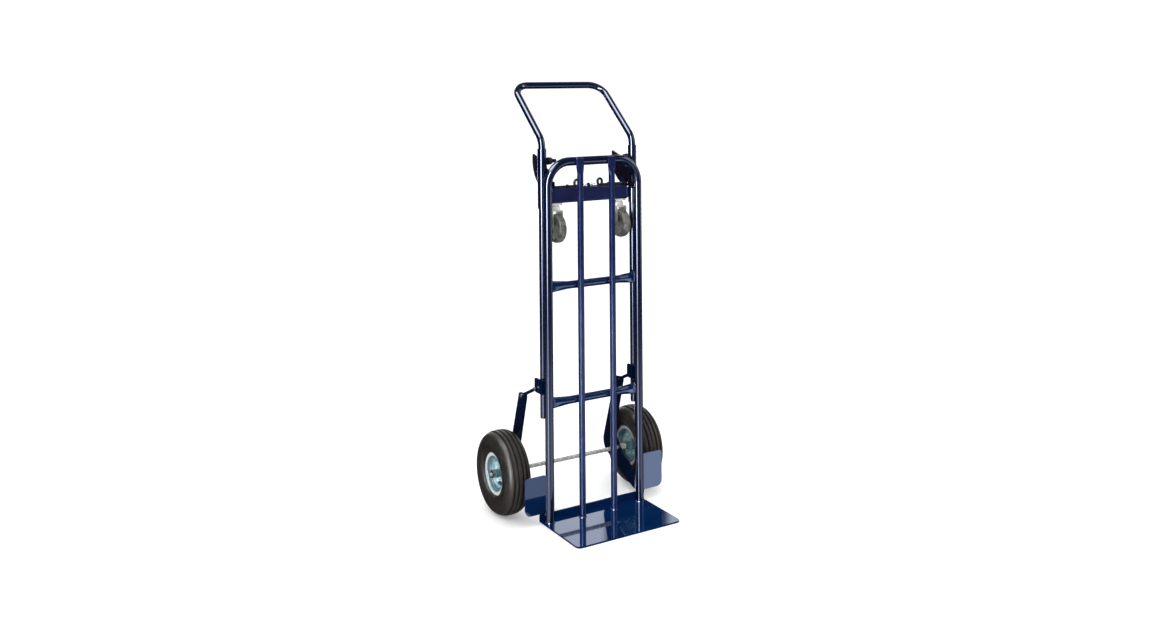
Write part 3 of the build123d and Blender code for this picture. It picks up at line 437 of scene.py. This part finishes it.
# ---------------------------------------------------------------- mesh helpers
def mesh_piece(name, vertices, faces, material, body, sharp):
    """A new mesh object that rides on a body. Edges that turn more than sharp, in degrees, stay crisp."""
    mesh = bpy.data.meshes.new(name)
    mesh.from_pydata([tuple(v) for v in vertices], [], faces)
    work = bmesh.new()
    work.from_mesh(mesh)
    bmesh.ops.recalc_face_normals(work, faces=work.faces)
    for face in work.faces:
        face.smooth = True
    work.to_mesh(mesh)
    work.free()
    mesh.set_sharp_from_angle(angle=math.radians(sharp))
    obj = bpy.data.objects.new(name, mesh)
    bpy.context.scene.collection.objects.link(obj)
    obj.data.materials.append(material)
    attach(obj, body)
    return obj


def lathe(name, profile, place, side, material, body, segments, sharp):
    """A closed ring turned about a line along X. profile is a closed list of (offset outward, radius)."""
    count = len(profile)
    vertices = []
    for i in range(segments):
        angle = 2 * math.pi * i / segments
        c, s = math.cos(angle), math.sin(angle)
        vertices += [place + Vector((side * out, r * c, r * s)) for out, r in profile]
    faces = []
    for i in range(segments):
        a, b = i * count, ((i + 1) % segments) * count
        for j in range(count):
            k = (j + 1) % count
            faces.append((a + j, a + k, b + k, b + j))
    return mesh_piece(name, vertices, faces, material, body, sharp)


def rounded(corners, steps):
    """A closed outline of (a, b, radius) corners, each eased by a curve that spans an arc of that radius."""
    # the share of a side that one corner's curve may take
    most = 0.48
    points = []
    count = len(corners)
    for i, (a, b, radius) in enumerate(corners):
        here = Vector((a, b))
        before = Vector(corners[i - 1][:2]) - here
        after = Vector(corners[(i + 1) % count][:2]) - here
        half_turn = before.angle(after) / 2
        reach = min(radius / math.tan(half_turn), most * before.length, most * after.length)
        start, end = here + before.normalized() * reach, here + after.normalized() * reach
        for step in range(steps + 1):
            f = step / steps
            points.append(tuple((1 - f) ** 2 * start + 2 * f * (1 - f) * here + f ** 2 * end))
    return points


def tube_along(name, points, radius, material, body, closed=False, sides=8, ripple=0.0):
    """A thin round bead along a line. ripple varies its radius, as the pool of a weld does."""
    # the first and last rings are smaller, so that the bead's ends are blunt
    end_share = 0.35
    crisp = 80.0
    count = len(points)
    vertices = []
    reference = None
    for i, point in enumerate(points):
        if closed:
            ahead, behind = points[(i + 1) % count], points[i - 1]
        else:
            ahead, behind = points[min(i + 1, count - 1)], points[max(i - 1, 0)]
        along = (ahead - behind).normalized()
        if reference is None:
            reference = along.orthogonal().normalized()
        reference = (reference - along * reference.dot(along)).normalized()
        across = along.cross(reference)
        size = radius * (1 + ripple * math.sin(i * 2.4) + 0.4 * ripple * math.sin(i * 0.9 + 1))
        if not closed and i in (0, count - 1):
            size *= end_share
        for k in range(sides):
            angle = 2 * math.pi * k / sides
            vertices.append(point + size * (reference * math.cos(angle) + across * math.sin(angle)))
    faces = []
    for i in range(count if closed else count - 1):
        a, b = i * sides, ((i + 1) % count) * sides
        for k in range(sides):
            n = (k + 1) % sides
            faces.append((a + k, a + n, b + n, b + k))
    if not closed:
        faces.append(tuple(range(sides))[::-1])
        faces.append(tuple((count - 1) * sides + k for k in range(sides)))
    return mesh_piece(name, vertices, faces, material, body, crisp)


def weld(name, points, radius, body="frame", closed=False):
    """A painted weld bead: the line is divided finely so that its ripples show."""
    line = [Vector(p) for p in points]
    if closed:
        line.append(line[0])
    fine = []
    step = radius * 0.9
    for a, b in zip(line, line[1:]):
        pieces = max(1, round((b - a).length / step))
        fine += [a.lerp(b, i / pieces) for i in range(pieces)]
    if not closed:
        fine.append(line[-1])
    return tube_along(name, fine, radius, WELD_PAINT, body, closed, ripple=0.16)


# ---------------------------------------------------------------- tyres
TYRE_HALF_WIDTH, TYRE_HALF_HEIGHT, TYRE_WALL = 0.0430, 0.0370, 0.007
TYRE_SQUARENESS = 2.6
GROOVE_HALF, GROOVE_DEPTH, GROOVE_SLOPE = 0.0032, 0.0042, 0.0012
WALL_RINGS, WALL_RING_HALF, WALL_RING_HEIGHT = (0.101, 0.086), 0.0013, 0.0007
RIM_EDGE_R = 0.0668


def tyre_profile(outer_r):
    """One tyre's closed section: an oval crown with grooves, ringed sidewalls, and beads on the rim."""
    centre_r = outer_r - TYRE_HALF_HEIGHT
    power = 2 / TYRE_SQUARENESS
    # degrees below level at which the outside ends, on both flanks
    under = 56
    outside = []
    steps = 250
    for i in range(steps + 1):
        angle = math.radians(-under + (180 + 2 * under) * i / steps)
        c, s = math.cos(angle), math.sin(angle)
        out = TYRE_HALF_WIDTH * math.copysign(abs(c) ** power, c)
        r = centre_r + TYRE_HALF_HEIGHT * math.copysign(abs(s) ** power, s)
        if s > 0.5:
            for groove in TYRE_GROOVES:
                inside_edge = GROOVE_HALF - abs(abs(out) - groove)
                if inside_edge > 0:
                    r -= GROOVE_DEPTH * min(1.0, inside_edge / GROOVE_SLOPE)
        else:
            for ring in WALL_RINGS:
                off = abs(r - ring)
                if off < WALL_RING_HALF:
                    out += math.copysign(WALL_RING_HEIGHT, out) * (1 - off / WALL_RING_HALF)
        outside.append((out, r))
    bead = [(-0.0278, 0.0662), (-0.0278, 0.0550), (-0.0180, 0.0550), (-0.0180, 0.0700)]
    bead_right = [(-a, b) for a, b in reversed(bead)]
    inside = []
    for i in range(25):
        angle = math.radians(180 + 50 - (180 + 100) * i / 24)
        out = (TYRE_HALF_WIDTH - TYRE_WALL) * math.cos(angle)
        inside.append((out, centre_r + (TYRE_HALF_HEIGHT - TYRE_WALL) * math.sin(angle)))
    outside = [p for p in outside if p[1] > RIM_EDGE_R]
    return outside + bead + inside + bead_right


for side, sign in SIDES.items():
    low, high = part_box(f"tyre_{side}")
    tyre = lathe(f"tyre_body_{side}", tyre_profile((high.z - low.z) / 2), wheel_centre(side), sign,
                 TYRE_RUBBER[side], f"wheel_{side}", 144, 50.0)
    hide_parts(f"tyre_{side}")


# ---------------------------------------------------------------- rims, pressed from sheet, with rolled edges
def rim_profile():
    """One rim half's closed section, from the clamped dish out to the rolled edge and back."""
    return rounded([
        (0.0010, 0.0180, 0.0003), (0.0010, 0.0455, 0.004), (0.0140, 0.0475, 0.004), (0.0170, 0.0545, 0.003),
        (0.0275, 0.0545, 0.002), (0.0280, 0.0650, 0.0008), (0.0305, 0.0655, 0.0012), (0.0312, 0.0625, 0.0012),
        (0.0300, 0.0520, 0.004), (0.0192, 0.0516, 0.004), (0.0165, 0.0440, 0.004), (0.0038, 0.0425, 0.005),
        (0.0036, 0.0240, 0.002), (0.0060, 0.0210, 0.002), (0.0060, 0.0181, 0.0004),
    ], 5)


for side, sign in SIDES.items():
    for half, out in (("outer", sign), ("inner", -sign)):
        rim = lathe(f"rim_pressing_{half}_{side}", rim_profile(), wheel_centre(side), out,
                    MATERIALS["rim_zinc"], f"wheel_{side}", 128, 35.0)
        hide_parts(f"rim_{half}_{side}")


# ---------------------------------------------------------------- casters
CASTER_HALF, CASTER_CORE_R, CASTER_BORE_R = 0.0130, 0.0330, 0.0041
CASTER_CROWN = 0.0085


def caster_tread_profile(outer_r):
    """A caster tread's closed section, with a full round crown."""
    points = [(-CASTER_HALF, CASTER_CORE_R)]
    steps = 28
    for i in range(steps + 1):
        out = -1 + 2 * i / steps
        crown = (1 - abs(out) ** 3.2) ** 0.45
        points.append((CASTER_HALF * out, outer_r - CASTER_CROWN * (1 - crown)))
    points.append((CASTER_HALF, CASTER_CORE_R))
    return points


def caster_core_profile():
    """A caster core's closed section: a hub, a thin dish and a rim under the tread."""
    right = [
        (CASTER_HALF + 0.0015, CASTER_BORE_R, 0.0003), (CASTER_HALF + 0.0015, 0.0085, 0.001),
        (0.0045, 0.0110, 0.002), (0.0035, 0.0250, 0.003), (CASTER_HALF - 0.002, 0.0290, 0.001),
        (CASTER_HALF - 0.0006, CASTER_CORE_R, 0.0004),
    ]
    left = [(-a, b, r) for a, b, r in reversed(right)]
    return rounded(right + left, 3)


for side, sign in SIDES.items():
    place = centre(f"caster_tread_{side}")
    low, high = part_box(f"caster_tread_{side}")
    tread = lathe(f"caster_tyre_{side}", caster_tread_profile((high.z - low.z) / 2), place, sign,
                  MATERIALS["caster_rubber"], f"caster_wheel_{side}", 96, 50.0)
    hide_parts(f"caster_tread_{side}")
    core = lathe(f"caster_hub_{side}", caster_core_profile(), place, sign,
                 MATERIALS["caster_core"], f"caster_wheel_{side}", 96, 35.0)
    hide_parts(f"caster_core_{side}")


# ---------------------------------------------------------------- valve caps
VALVE_TURN, VALVE_LEAN = math.radians(127), math.radians(150)
VALVE_START_OUT, VALVE_START_R = 0.006, 0.068
VALVE_CAP_STEPS = (0.0350, 0.0356, 0.0380, 0.0430, 0.0445)
VALVE_CAP_R = 0.0049


def on_valve(place, sign, along):
    """A point on the valve's line, so far out from where the line starts inside the tyre."""
    out = VALVE_START_OUT + along * math.sin(VALVE_LEAN)
    radius = VALVE_START_R + along * math.cos(VALVE_LEAN)
    return place + Vector((sign * out, -radius * math.sin(VALVE_TURN), radius * math.cos(VALVE_TURN)))


for side, sign in SIDES.items():
    line = [on_valve(wheel_centre(side), sign, along) for along in VALVE_CAP_STEPS]
    tube_along(f"valve_cap_{side}", line, VALVE_CAP_R, MATERIALS["black_plastic"], f"wheel_{side}",
               sides=16)


# ---------------------------------------------------------------- welds
# the radius of each kind of weld bead
BEADS = {
    "tube_foot": 0.0022, "upright_foot": 0.0019, "cross": 0.0017, "crossing": 0.0014, "tab": 0.0021,
    "bracket": 0.0019, "guard": 0.0016, "saddle": 0.0015, "ear": 0.0014, "stud": 0.0009, "sleeve": 0.0016,
}
CROSS_R = 0.012
STUD_COLLAR_R = 0.0068


def foot_ring(x, y, radius, lift):
    """Round the foot of a vertical tube, a little above the toe plate."""
    steps = 40
    turns = [2 * math.pi * i / steps for i in range(steps)]
    return [(x + radius * math.cos(a), y + radius * math.sin(a), TOE_TOP + lift) for a in turns]


def cross_weld(sign, z):
    """Round the flattened end of a cross tube, on the side tube's surface."""
    half_y, half_z = CROSS_HALF
    points = []
    for i in range(48):
        angle = 2 * math.pi * i / 48
        y = CROSS_Y + (half_y + 0.0005) * math.cos(angle)
        dz = (half_z - half_y) * max(-1.0, min(1.0, 3 * math.sin(angle))) + half_y * math.sin(angle)
        off = y - TUBE_Y
        x = TUBE_X - math.sqrt(max(TUBE_R ** 2 - off ** 2, 1e-6)) - 0.0004
        points.append((sign * x, y, z + dz))
    return points


def crossing_weld(sign, z, up):
    """Along an upright's back, over or under the cross tube behind it."""
    points = []
    for i in range(13):
        angle = math.radians(-75 + 150 * i / 12)
        x = UPRIGHT_X + (UPRIGHT_R + 0.0003) * math.sin(angle)
        y = UPRIGHT_Y + (UPRIGHT_R + 0.0003) * math.cos(angle)
        depth = CROSS_Y - y
        rise = math.sqrt(max(CROSS_R ** 2 - depth ** 2, 1e-8))
        points.append((sign * x, y, z + up * (rise + 0.0003)))
    return points


def tab_weld(side, sign):
    """Over the top of an upright's flattened end, on the front of the frame loop's top tube."""
    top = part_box(f"upright_{side}")[1].z
    loop_z = LOOP_HIGH.z - TUBE_R
    front = TUBE_Y - math.sqrt(TUBE_R ** 2 - (top - loop_z) ** 2)
    offsets = (-0.0115, -0.006, 0, 0.006, 0.0115)
    return [(sign * (UPRIGHT_X + d), front - 0.0010, top + 0.0002) for d in offsets]


def saddle_weld(side, sign, d):
    """Up one edge of a tube saddle, on the side tube's back."""
    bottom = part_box(f"tube_saddle_{side}")[0].z
    height = 0.044
    y = TUBE_Y + math.sqrt(TUBE_R ** 2 - d ** 2) + 0.0006
    return [(sign * (TUBE_X + d), y, bottom + share * height) for share in (0.06, 0.35, 0.65, 0.94)]


def stud_weld(sign):
    """Round a pivot stud, where it leaves the handle sleeve."""
    steps = 28
    turns = [2 * math.pi * i / steps for i in range(steps)]
    return [(sign * (SLEEVE_LOW.x - 0.0002), STUD.y + STUD_COLLAR_R * math.cos(a),
             STUD.z + STUD_COLLAR_R * math.sin(a)) for a in turns]


for side, sign in SIDES.items():
    weld(f"weld_tube_foot_{side}", foot_ring(sign * TUBE_X, TUBE_Y, TUBE_R + 0.0006, 0.0008),
         BEADS["tube_foot"], closed=True)
    weld(f"weld_upright_foot_{side}", foot_ring(sign * UPRIGHT_X, UPRIGHT_Y, UPRIGHT_R + 0.0005, 0.0006),
         BEADS["upright_foot"], closed=True)
    for level, z in zip(("lower", "upper"), CROSS_Z):
        weld(f"weld_cross_{level}_{side}", cross_weld(sign, z), BEADS["cross"], closed=True)
        for edge, up in (("low", -1), ("high", 1)):
            weld(f"weld_crossing_{level}_{edge}_{side}", crossing_weld(sign, z, up), BEADS["crossing"])
    weld(f"weld_tab_top_{side}", tab_weld(side, sign), BEADS["tab"])
    # the wheel bracket and the wheel guard, on the side tube
    inner = min(abs(corner.x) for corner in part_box(f"wheel_bracket_{side}"))
    weld(f"weld_bracket_{side}", [(sign * (inner + 0.0008), TUBE_Y + 0.0022, z)
                                  for z in (0.026, 0.036, 0.046, 0.053)], BEADS["bracket"])
    guard_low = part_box(f"wheel_guard_{side}")[0]
    weld(f"weld_guard_{side}", [(sign * (inner - 0.0004), guard_low.y - 0.0006, guard_low.z + d)
                                for d in (0.004, 0.030, 0.060, 0.090, 0.106)], BEADS["guard"])
    for edge, d in (("in", -0.0052), ("out", 0.0052)):
        weld(f"weld_saddle_{edge}_{side}", saddle_weld(side, sign, d), BEADS["saddle"])
    # the pivot plate's foot
    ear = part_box(f"pivot_plate_{side}")
    ear_out = max(abs(corner.x) for corner in ear)
    weld(f"weld_ear_{side}", [(sign * (ear_out + 0.0002), TUBE_Y - 0.0063, ear[0].z + d)
                              for d in (0.003, 0.010, 0.015)], BEADS["ear"])
    weld(f"weld_stud_{side}", stud_weld(sign), BEADS["stud"], "caster_frame", True)
    # the sleeve, on its bracket
    bar_low, bar_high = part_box("sleeve_brackets")
    joint_x = (SLEEVE_LOW.x + SLEEVE_HIGH.x) / 2 - 0.0122
    weld(f"weld_sleeve_{side}", [(sign * joint_x, bar_high.y + 0.0006, z)
                                 for z in (bar_low.z + 0.002, bar_low.z + 0.012, bar_high.z - 0.002)],
         BEADS["sleeve"], "caster_frame")


# ---------------------------------------------------------------- floor, world, light and camera
def floor():
    """A plain pale floor just under the wheels, that mirrors don't see."""
    mesh = bpy.data.meshes.new("floor")
    half = 30.0
    mesh.from_pydata([(-half, -half, 0), (half, -half, 0), (half, half, 0), (-half, half, 0)], [],
                     [(0, 1, 2, 3)])
    obj = bpy.data.objects.new("floor", mesh)
    bpy.context.scene.collection.objects.link(obj)
    obj.matrix_world = Matrix.Translation((0, 0, -0.0004))
    material = bpy.data.materials.new("floor")
    material.use_nodes = True
    shader = material.node_tree.nodes["Principled BSDF"]
    shader.inputs["Base Color"].default_value = (0.96, 0.96, 0.96, 1)
    shader.inputs["Roughness"].default_value = 0.9
    shader.inputs["Emission Color"].default_value = (1, 1, 1, 1)
    shader.inputs["Emission Strength"].default_value = 0.20
    shader.inputs["Specular IOR Level"].default_value = 0.1
    obj.data.materials.append(material)
    obj.visible_glossy = False
    return obj


CAMERA_PLACE = Vector((-1.738, -2.94506, 1.33796))
CAMERA_YAW = math.radians(31.56)
CAMERA_ROLL = math.radians(-0.44)


def camera(stand):
    """A level camera whose film is shifted, so that uprights stay upright.

    The shift is in the camera's axes, which lean with the stand it hangs from: its view direction is not
    square to its film.
    """
    film, lens, shift = 36.0, 33.807, Vector((-0.0232, -0.1996))
    data = bpy.data.cameras.new("camera")
    data.sensor_fit = "HORIZONTAL"
    data.sensor_width = film
    data.lens = math.hypot(lens, *(film * shift))
    obj = bpy.data.objects.new("camera", data)
    bpy.context.scene.collection.objects.link(obj)
    ahead = Vector((math.sin(CAMERA_YAW), math.cos(CAMERA_YAW), 0))
    right = Vector((math.cos(CAMERA_YAW), -math.sin(CAMERA_YAW), 0))
    up = Vector((0, 0, 1))
    c, s = math.cos(CAMERA_ROLL), math.sin(CAMERA_ROLL)
    right, up = right * c + up * s, up * c - right * s
    back = (-ahead * lens - right * film * shift.x - up * film * shift.y).normalized()
    turn = Matrix((right, up, back)).transposed()
    leaning = Matrix.Translation(CAMERA_PLACE) @ turn.to_4x4()
    obj.parent = stand
    obj.matrix_parent_inverse = stand.matrix_world.inverted() @ leaning
    bpy.context.scene.camera = obj


def softbox(name, place, target, size, power, glossy=True):
    """A rectangular lamp that looks from its place to a target."""
    data = bpy.data.lights.new(name, "AREA")
    data.shape = "RECTANGLE"
    data.size, data.size_y = size
    data.energy = power
    obj = bpy.data.objects.new(name, data)
    bpy.context.scene.collection.objects.link(obj)
    obj.location = place
    obj.rotation_euler = (Vector(target) - Vector(place)).to_track_quat("-Z", "Y").to_euler()
    obj.visible_glossy = glossy


# how bright the mirrored studio's panels are
FLOOR_GLEAM, WALL_GLEAM, BOX_GLEAM, REAR_GLEAM, ROOM_GLEAM = 1.8, 1.7, 14.0, 8.0, 0.04


def world():
    """A white room for what is seen and lit, and a studio of pale and dark panels for what is mirrored."""
    room = bpy.data.worlds.new("room")
    bpy.context.scene.world = room
    room.use_nodes = True
    nodes, links = room.node_tree.nodes, room.node_tree.links
    nodes.clear()
    coords = nodes.new("ShaderNodeTexCoord")
    split = nodes.new("ShaderNodeSeparateXYZ")
    links.new(coords.outputs["Generated"], split.inputs["Vector"])

    def calc(kind, *values):
        node = nodes.new("ShaderNodeMath")
        node.operation = kind
        for socket, value in zip(node.inputs, values):
            if isinstance(value, (int, float)):
                socket.default_value = value
            else:
                links.new(value, socket)
        return node.outputs["Value"]

    def times(a, b):
        return calc("MULTIPLY", a, b)

    def plus(first, *others):
        for other in others:
            first = calc("ADD", first, other)
        return first

    def without(value, area, share):
        """A value less a share of it inside an area."""
        return times(value, calc("SUBTRACT", 1.0, times(area, share)))

    def between(value, low, high, at_low, at_high):
        node = nodes.new("ShaderNodeMapRange")
        node.interpolation_type = "SMOOTHSTEP"
        for key, number in (("From Min", low), ("From Max", high), ("To Min", at_low), ("To Max", at_high)):
            node.inputs[key].default_value = number
        links.new(value, node.inputs["Value"])
        return node.outputs["Result"]

    def window(value, low, high, soft):
        return times(between(value, low - soft, low + soft, 0.0, 1.0),
                     between(value, high - soft, high + soft, 1.0, 0.0))

    x, y, z = (split.outputs[axis] for axis in "XYZ")
    # degrees round from the side the truck faces to, 0 straight ahead of the toe plate, and up from level
    turn = times(calc("ARCTAN2", x, times(y, -1.0)), 180 / math.pi)
    rise = times(calc("ARCSINE", z), 180 / math.pi)

    # the lit floor ahead of the truck, dark further off, under it and behind
    pool = calc("SUBTRACT", window(turn, -112.0, 54.0, 12.0), times(window(turn, -48.0, 8.0, 8.0), 0.5))
    pool = times(pool, between(turn, 26.0, 35.0, 1.0, 1.25))
    pool = without(pool, window(turn, 20.0, 30.5, 1.5), 0.45)
    pool = times(pool, window(rise, -36.0, -15.0, 4.0))
    # narrow bright strips on both sides, and a faint broad one ahead
    strips = plus(times(window(turn, -56.0, -44.0, 2.0), 60.0), times(window(turn, -25.0, 5.0, 4.0), 0.3),
                  times(window(turn, 60.0, 72.0, 2.0), 5.0))
    strips = times(strips, plus(times(window(rise, -9.0, 40.0, 4.0), 0.8),
                                times(window(rise, -21.0, 40.0, 4.0), 0.2)))
    # one more strip behind the truck, for its sides and back
    rear = times(window(turn, 158.0, 168.0, 2.0), window(rise, -34.0, 8.0, 4.0))
    # a lit box overhead, on the left
    box = times(window(turn, -130.0, -45.0, 8.0), window(rise, 46.0, 82.0, 4.0))
    # behind the truck: a pale wall with one dark panel
    back = times(calc("ARCTAN2", x, y), 180 / math.pi)
    wall = times(window(back, -5.0, 75.0, 10.0), window(rise, 11.0, 36.0, 3.0))
    wall = without(wall, window(back, 31.4, 34.7, 0.25), 0.98)
    ceiling = between(rise, 25.0, 70.0, 0.0, 0.14)
    behind = calc("MAXIMUM", times(wall, WALL_GLEAM), ceiling)
    mirrored = plus(times(pool, FLOOR_GLEAM), times(box, BOX_GLEAM), strips, behind,
                    times(rear, REAR_GLEAM), ROOM_GLEAM)
    studio = nodes.new("ShaderNodeBackground")
    studio.inputs["Color"].default_value = (0.96, 0.975, 1.0, 1)
    links.new(mirrored, studio.inputs["Strength"])
    white = nodes.new("ShaderNodeBackground")
    white.inputs["Color"].default_value = (1, 1, 1, 1)
    white.inputs["Strength"].default_value = 1.06
    path = nodes.new("ShaderNodeLightPath")
    choose = nodes.new("ShaderNodeMixShader")
    links.new(path.outputs["Is Glossy Ray"], choose.inputs["Fac"])
    links.new(white.outputs[0], choose.inputs[1])
    links.new(studio.outputs[0], choose.inputs[2])
    out = nodes.new("ShaderNodeOutputWorld")
    links.new(choose.outputs[0], out.inputs["Surface"])


camera(floor())
world()
softbox("key", (-1.6, -2.2, 3.2), (0, 0, 0.5), (1.6, 1.6), 20.0)
softbox("fill", (2.4, -1.6, 2.2), (0, 0, 0.5), (1.4, 1.8), 9.0)
softbox("top", (0.2, 0.6, 3.4), (0, 0, 0.4), (2.2, 2.2), 14.0, glossy=False)
bpy.context.scene.view_settings.view_transform = "Standard"
